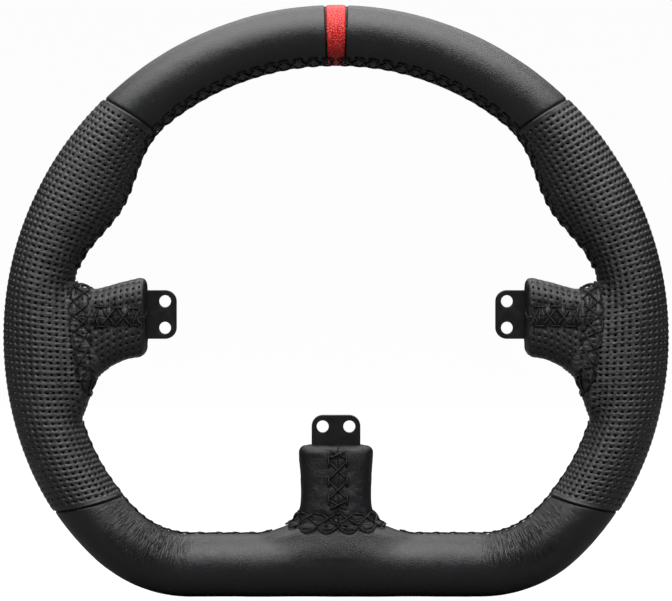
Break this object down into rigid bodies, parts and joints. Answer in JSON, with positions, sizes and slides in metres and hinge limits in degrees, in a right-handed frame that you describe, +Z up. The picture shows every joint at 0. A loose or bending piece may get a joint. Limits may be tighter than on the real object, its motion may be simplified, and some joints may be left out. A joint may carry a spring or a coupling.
{
  "type": "racing simulator wheel rim",
  "caption": "D-shaped racing wheel rim in smooth and perforated black leather with cross-stitched seams, a red top marker and flat steel tabs for bolting to a hub.",
  "frame": {"origin": "centre of the hub, midway between the side tabs' hole pairs, in the plane of the tabs' back faces", "axes": "+X to the driver's right, +Z up towards 12 o'clock, +Y away from the driver, out of the tabs' back faces towards the wheel base"},
  "size_m": [0.2994, 0.0304, 0.2669],
  "materials": {
    "smooth_leather": "smooth black leather, soft satin sheen, fine grain",
    "perforated_leather": "black leather with punched holes about 1.2 mm wide, 3 mm apart",
    "red_leather": "red pebbled leather",
    "lacing_thread": "black waxed thread",
    "powder_coated_steel": "satin black powder coat, fine texture",
    "bare_steel": "plain bent rod",
    "foam": "moulded polyurethane foam"
  },
  "bodies": {
    "root": {"top_left_panel": "smooth_leather", "top_right_panel": "smooth_leather", "bottom_panel": "smooth_leather", "bottom_spoke_cover": "smooth_leather", "left_grip_panel": "perforated_leather", "right_grip_panel": "perforated_leather", "left_spoke_cover": "perforated_leather", "right_spoke_cover": "perforated_leather", "centre_stripe": "red_leather", "upper_left_lacing": "lacing_thread", "upper_right_lacing": "lacing_thread", "lower_left_lacing": "lacing_thread", "lower_right_lacing": "lacing_thread", "left_spoke_lacing": "lacing_thread", "right_spoke_lacing": "lacing_thread", "bottom_spoke_lacing": "lacing_thread", "left_root_lacing": "lacing_thread", "right_root_lacing": "lacing_thread", "bottom_root_lacing": "lacing_thread", "stripe_left_seam": "lacing_thread", "stripe_right_seam": "lacing_thread", "upper_left_seam": "lacing_thread", "upper_right_seam": "lacing_thread", "lower_left_seam": "lacing_thread", "lower_right_seam": "lacing_thread", "left_mount_plate": "powder_coated_steel", "right_mount_plate": "powder_coated_steel", "bottom_mount_plate": "powder_coated_steel", "rim_armature": "bare_steel", "foam_core": "foam"}
  },
  "joints": []
}
